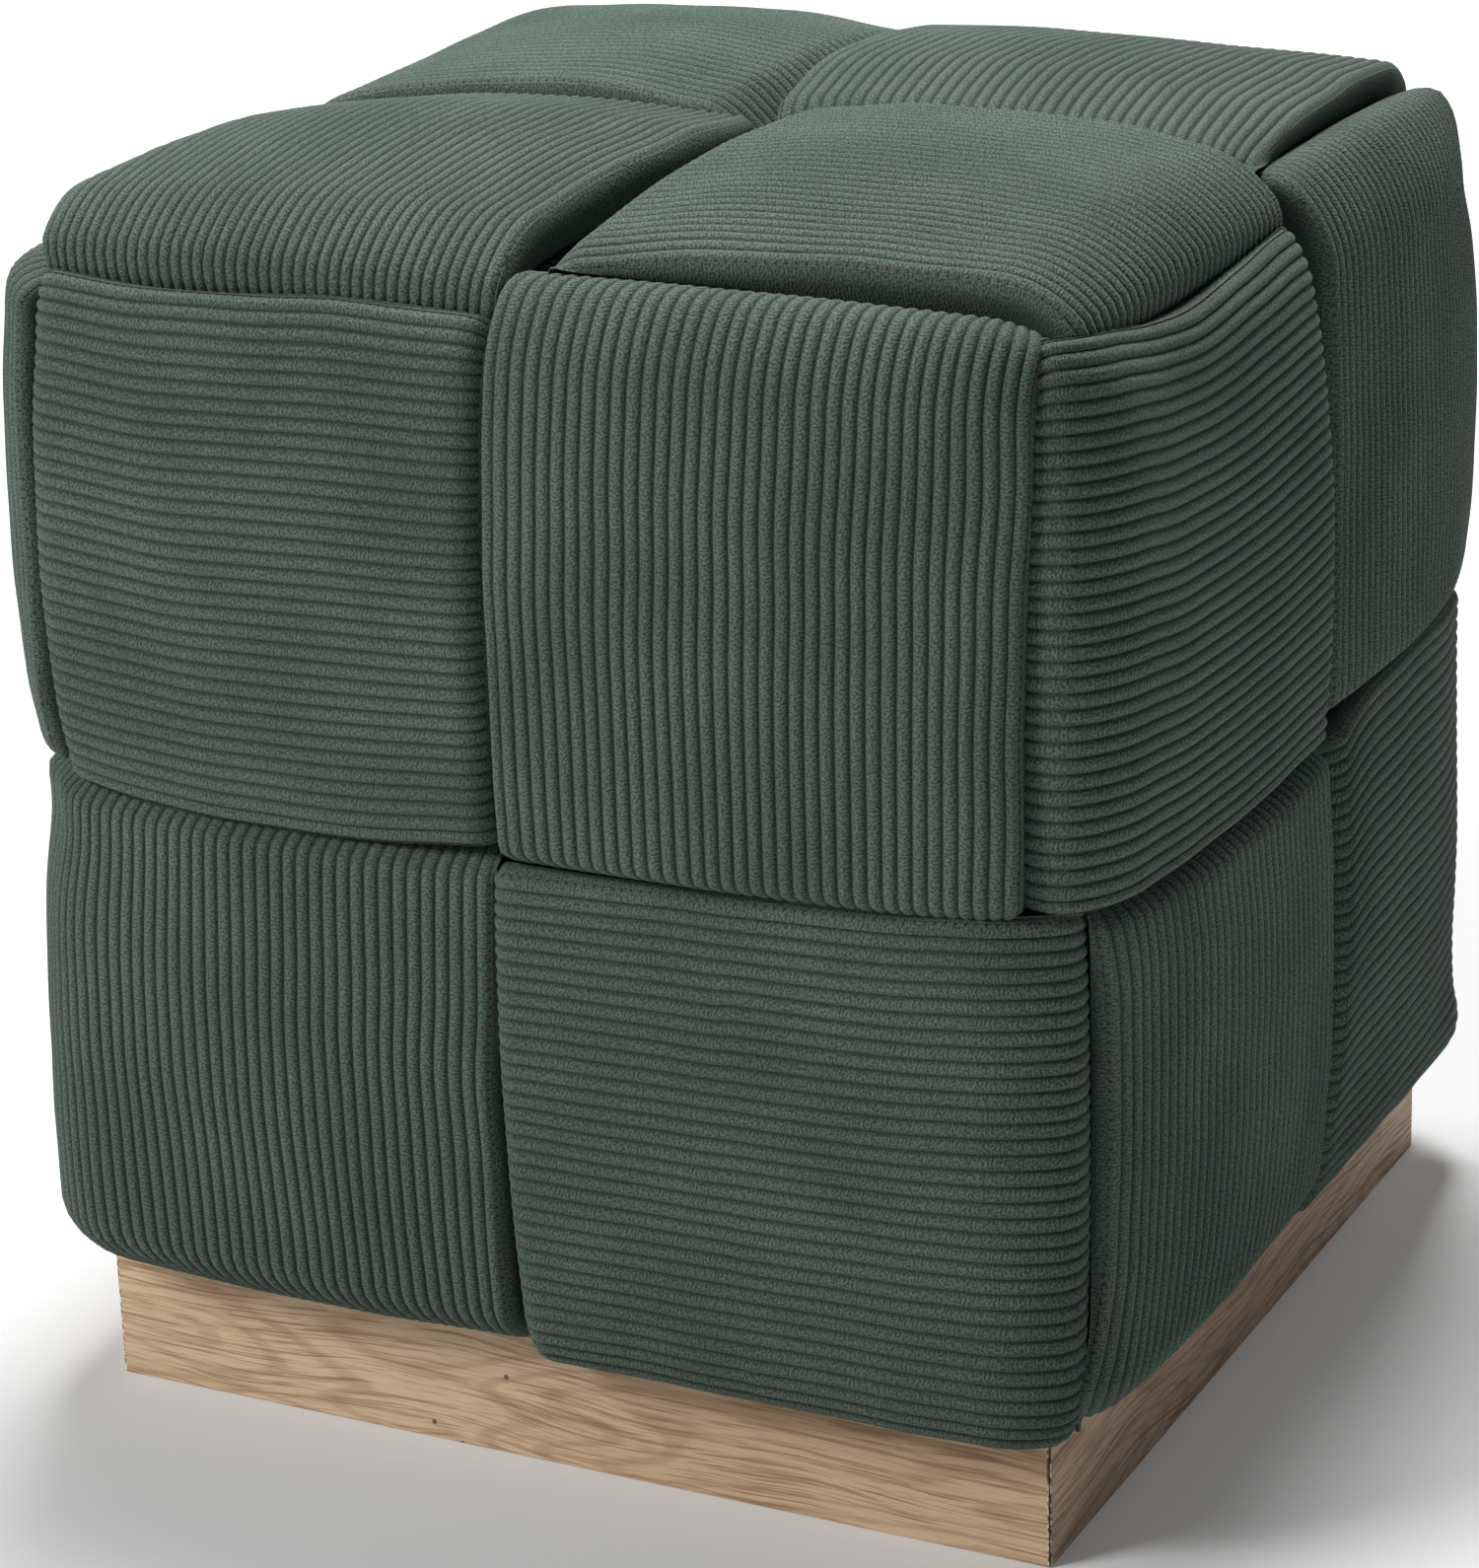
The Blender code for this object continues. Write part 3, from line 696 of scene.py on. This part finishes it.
# ---- the bands ----
# Of each band: the course of its wrapped edge and of its other edge, how far past each
# crossing it dives, its number of ribs and their skew, and its seed. Then the quarter turns
# that bring it to its side, and its CAD node.
cloth = corduroy("corduroy")
bands = {
    "band_front_left": (top_band(
        knots((0.0, 29), (0.2, 29.4), (0.33, 12), (0.385, 9), (0.42, 13), (0.47, 19),
              (0.56, 20), (1.1, 18)),
        knots((0.0, -4.5), (0.04, -4.5), (0.09, -3.7), (0.12, -3.6), (0.155, -0.6), (0.2, 1.5),
              (0.3, 1), (0.39, 3), (0.44, 4), (0.49, 8.5), (0.54, 7), (0.575, -5), (0.62, -12),
              (0.7, -12), (0.76, 0), (1.1, 0)),
        (0.003, 0.0075, -0.010, 0.004, 0.0032), (39, 0.04), 1.0),
        0, "top_band_front"),
    "band_right_near": (top_band(
        knots((0.0, 18), (0.03, 17), (0.045, 13.5), (0.07, 11.0), (0.12, 9.7), (0.17, 9.7),
              (0.205, 12.4), (0.3, 10), (0.39, 7.2), (0.43, 7.3), (0.49, 9.8), (0.54, 11.8),
              (0.6, 14), (0.72, 20), (0.76, 22), (0.80, 23), (0.84, 24), (0.87, 21.5),
              (0.893, 17.5), (0.91, 16), (1.1, 16)),
        knots((0.0, 3.0), (0.06, 5.4), (0.085, 5), (0.11, 2.5), (0.14, 0), (0.165, -3),
              (0.2, -9), (0.3, -5), (0.39, -3), (0.42, 5.5), (0.45, 4.5), (0.51, -1),
              (0.545, -2), (0.58, -8), (0.62, -12), (0.7, -12), (0.76, 0), (1.1, 0)),
        (0.0035, 0.0075, -0.009, -0.004, 0.002), (31, 0.0), 2.1),
        1, "top_band_right"),
    "band_front_right": (top_band(
        knots((0.0, 12), (0.35, 8), (0.385, 5.4), (0.413, 5.2), (0.43, 5.6), (0.465, 6.9),
              (0.505, 7.8), (0.535, 9.3), (0.56, 11.6), (0.65, 13), (0.745, 13.4),
              (0.79, 12.4), (0.85, 11.3), (0.915, 11), (1.1, 11)),
        knots((0.0, 0), (0.4, 6.5), (0.46, 7.5), (0.505, 4), (0.545, -1), (0.58, -8), (0.62, -12),
              (0.69, -12), (0.735, -1.5), (0.745, -0.9), (0.9, -0.9), (0.93, -1.5), (1.1, -1.5)),
        (0.003, 0.0058, -0.001, 0.0065, 0.001), (34, -0.05), 3.7),
        2, "top_band_back"),
    "band_left_far": (top_band(
        knots((0.0, 14.5), (0.6, 14.5), (0.72, 10), (0.76, 7.8), (0.84, 8), (0.91, 9), (1.1, 10)),
        knots((0.0, 0), (0.38, 4), (0.43, 6), (0.495, 7), (0.53, 10), (0.56, 6), (0.585, -6),
              (0.62, -12), (0.7, -12), (0.74, -6), (0.77, -3), (0.8, 0), (0.85, 4), (0.9, 6),
              (1.1, 6)),
        (0.002, 0.006, -0.004, 0.0085, -0.0075), (32, 0.0), 4.4),
        3, "top_band_left"),
    "belt_high": (belt(
        True,
        knots((0.0, 11.8), (0.086, 11.8), (0.135, 12.3), (0.2, 10.6), (0.25, 11.7), (0.4, 12),
              (1.05, 13), (1.162, 13), (1.19, 12.2), (1.22, 11.2), (1.25, 10.5), (1.293, 11.6),
              (1.33, 15.3), (1.4, 12), (1.436, 11.8)),
        knots((0.0, -4), (0.086, -4.6), (0.118, -1.4), (0.156, 0.2), (0.19, 0.8), (0.236, -1.4),
              (0.26, -4), (0.5, 0), (1.1, -2.5), (1.19, -2.4), (1.215, -1), (1.25, -0.9),
              (1.3, -0.9), (1.336, -2), (1.4, -3), (1.436, -4)),
        (0.0028, -0.0062, 0.004, -0.0008, 0.0045, 0.004, -0.007, 0.0072), (34, -0.04), 5.2),
        0, "belt_upper"),
    "belt_low": (belt(
        False, constant(RADIUS * FOOT_TURN),
        knots((0.0, 1.5), (0.045, 0.4), (0.07, -0.3), (0.3, 0), (0.95, 3), (1.034, 6.5),
              (1.065, 9.2), (1.11, 9.4), (1.14, 6.6), (1.157, 1), (1.25, -3), (1.32, 1),
              (1.345, 4.5), (1.378, 2.5), (1.41, 2), (1.436, 1.5)),
        (0.0043, -0.012, 0.0015, 0.004, 0.0002, 0.006, 0.001, 0.008), (34, 0.06), 6.9),
        0, "belt_lower"),
}
*tops, (upper_belt, _, _), (lower_belt, _, _) = bands.values()
add_rests([band for band, _, _ in tops], upper_belt, lower_belt)
for name, (band, quarter_turns, node) in bands.items():
    obj = add_band(name, band, quarter_turns, cloth)
    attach(obj, "root")
    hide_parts(node)

# ---- the boards ----
BOARDS = (("front", "e2c8a6", "d3b491", "966f52"), ("right", "dfc3a8", "cfb096", "8a6a53"),
          ("back", "dcbb92", "cda97f", "9c7452"), ("left", "dcbb92", "cda97f", "9c7452"))
for turns, (side, light, dark, vein) in enumerate(BOARDS):
    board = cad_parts["plinth_board_" + side]
    board.material_slots[0].material = oak("oak_grain_" + side, turns, light, dark, vein,
                                           1.7 * turns)
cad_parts["base_board"].material_slots[0].material = birch("birch_layers")

# ---- floor, light and camera ----
FLOOR_GREY = 0.67
FLOOR_GLOW = (0.5, 2.2, 0.08, 0.8)      # distances from the middle, strengths there
scene = bpy.context.scene
bpy.ops.mesh.primitive_plane_add(size=30.0, location=(0, 0, 0))
floor = bpy.context.object
floor.name = "floor"
floor_look = Nodes("pale_floor")
floor_look.shader.inputs["Base Color"].default_value = (FLOOR_GREY, FLOOR_GREY, FLOOR_GREY, 1)
floor_look.shader.inputs["Roughness"].default_value = 0.9
floor_look.shader.inputs["Emission Color"].default_value = (1.0, 1.0, 1.0, 1)
away = floor_look.add("VectorMath", {0: floor_look.add("TexCoord").outputs["Object"]},
                      operation="LENGTH").outputs["Value"]
floor_look.put(floor_look.shader.inputs["Emission Strength"],
               floor_look.ramp(away, *FLOOR_GLOW))
floor.data.materials.append(floor_look.material)

world = bpy.data.worlds.new("studio")
world.use_nodes = True
world.node_tree.nodes["Background"].inputs[0].default_value = (0.95, 0.97, 1.0, 1)
world.node_tree.nodes["Background"].inputs[1].default_value = 0.04
scene.world = world


def add_light(name, place, target, size, watts):
    data = bpy.data.lights.new(name, "AREA")
    data.shape = "RECTANGLE"
    data.size, data.size_y = size
    data.energy = watts
    light = bpy.data.objects.new(name, data)
    light.location = place
    light.rotation_euler = (Vector(target) - Vector(place)).to_track_quat("-Z", "Y").to_euler()
    scene.collection.objects.link(light)


add_light("key", (-1.7, -1.95, 2.0), (0, 0, 0.25), (1.0, 1.0), 74)
add_light("top", (-0.2, 0.6, 2.4), (0, 0, 0.3), (0.8, 0.8), 74)
add_light("back", (0.9, 2.2, 1.9), (0, 0, 0.3), (1.0, 1.0), 9)

CAMERA_PLACE = (0.7344, -1.476, 0.7956)
CAMERA_LENS = 111.9
azimuth, elevation, roll = map(math.radians, (26.97, 20.24, -1.84))
back = Vector((math.sin(azimuth) * math.cos(elevation), -math.cos(azimuth) * math.cos(elevation),
               math.sin(elevation)))
level_right = Vector((math.cos(azimuth), math.sin(azimuth), 0))
level_up = back.cross(level_right)
right = level_right * math.cos(roll) + level_up * math.sin(roll)
up = level_up * math.cos(roll) - level_right * math.sin(roll)
camera_data = bpy.data.cameras.new("camera")
camera_data.lens = CAMERA_LENS
camera_data.sensor_width = 36.0
camera = bpy.data.objects.new("camera", camera_data)
camera.matrix_world = (Matrix.Translation(CAMERA_PLACE)
                       @ Matrix((right, up, back)).transposed().to_4x4())
scene.collection.objects.link(camera)
scene.camera = camera
scene.view_settings.view_transform = "Standard"
